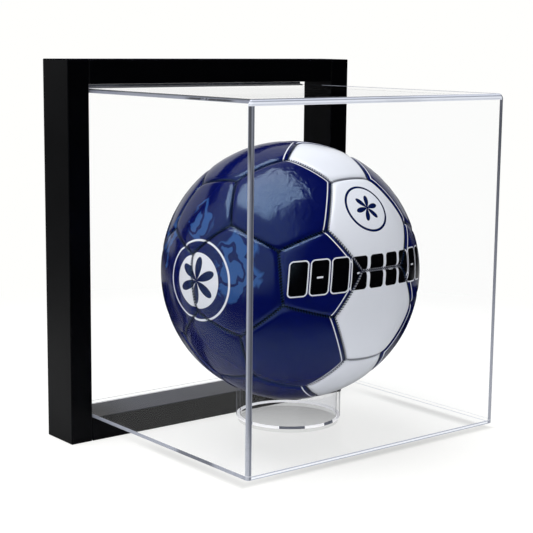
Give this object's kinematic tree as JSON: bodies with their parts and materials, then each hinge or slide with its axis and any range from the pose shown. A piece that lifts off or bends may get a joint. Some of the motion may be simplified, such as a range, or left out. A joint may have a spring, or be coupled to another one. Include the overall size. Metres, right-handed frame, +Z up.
{
  "type": "ball display case",
  "caption": "Wall-hung display case for a football: a black square frame with a clear box standing out in front and a clear ring that holds the ball.",
  "frame": {"origin": "in the wall's plane, at the middle of the top rail's back face", "axes": "+X to the viewer's right, -Y out of the wall towards the viewer, +Z up"},
  "size_m": [0.307, 0.2565, 0.325],
  "materials": {
    "black_lacquer": "black satin lacquer on wood",
    "clear_acrylic": "clear, polished",
    "zinc_steel": "bright zinc",
    "beech": "bare",
    "navy_panel": "glossy coated, printed navy",
    "white_panel": "glossy coated, white",
    "bladder_rubber": "matte",
    "valve_rubber": "matte"
  },
  "bodies": {
    "frame": {"left_stile": "black_lacquer", "right_stile": "black_lacquer", "top_rail": "black_lacquer", "bottom_rail": "black_lacquer", "dowel_top_left_front": "beech", "dowel_top_left_back": "beech", "dowel_top_right_front": "beech", "dowel_top_right_back": "beech", "dowel_bottom_left_front": "beech", "dowel_bottom_left_back": "beech", "dowel_bottom_right_front": "beech", "dowel_bottom_right_back": "beech", "hanger_left": "zinc_steel", "hanger_right": "zinc_steel", "hanger_screw_left_outer": "zinc_steel", "hanger_screw_left_inner": "zinc_steel", "hanger_screw_right_outer": "zinc_steel", "hanger_screw_right_inner": "zinc_steel"},
    "case": {"case_wrap": "clear_acrylic", "case_top": "clear_acrylic", "case_floor": "clear_acrylic"},
    "stand": {"ring_stand": "clear_acrylic"},
    "ball": {"ball_pentagon_01": "white_panel", "ball_pentagon_02": "white_panel", "ball_pentagon_03": "navy_panel", "ball_pentagon_04": "navy_panel", "ball_pentagon_05": "navy_panel", "ball_pentagon_06": "navy_panel", "ball_pentagon_07": "navy_panel", "ball_pentagon_08": "navy_panel", "ball_pentagon_09": "navy_panel", "ball_pentagon_10": "navy_panel", "ball_pentagon_11": "white_panel", "ball_pentagon_12": "white_panel", "ball_hexagon_01": "navy_panel", "ball_hexagon_02": "navy_panel", "ball_hexagon_03": "navy_panel", "ball_hexagon_04": "navy_panel", "ball_hexagon_05": "navy_panel", "ball_hexagon_06": "white_panel", "ball_hexagon_07": "navy_panel", "ball_hexagon_08": "white_panel", "ball_hexagon_09": "navy_panel", "ball_hexagon_10": "navy_panel", "ball_hexagon_11": "navy_panel", "ball_hexagon_12": "navy_panel", "ball_hexagon_13": "white_panel", "ball_hexagon_14": "navy_panel", "ball_hexagon_15": "white_panel", "ball_hexagon_16": "navy_panel", "ball_hexagon_17": "navy_panel", "ball_hexagon_18": "navy_panel", "ball_hexagon_19": "navy_panel", "ball_hexagon_20": "navy_panel", "ball_bladder": "bladder_rubber", "ball_valve": "valve_rubber"}
  },
  "joints": [
    {"name": "case_slide", "type": "slide", "parent": "frame", "child": "case", "axis": [0, -1, 0], "range_m": [0, 0.045]},
    {"name": "ring_slide", "type": "slide", "parent": "case", "child": "stand", "axis": [0, 1, 0], "range_m": [0, 0.032]},
    {"name": "ball_lift", "type": "slide", "parent": "stand", "child": "ball", "axis": [0, 0, 1], "range_m": [0, 0.035]}
  ]
}
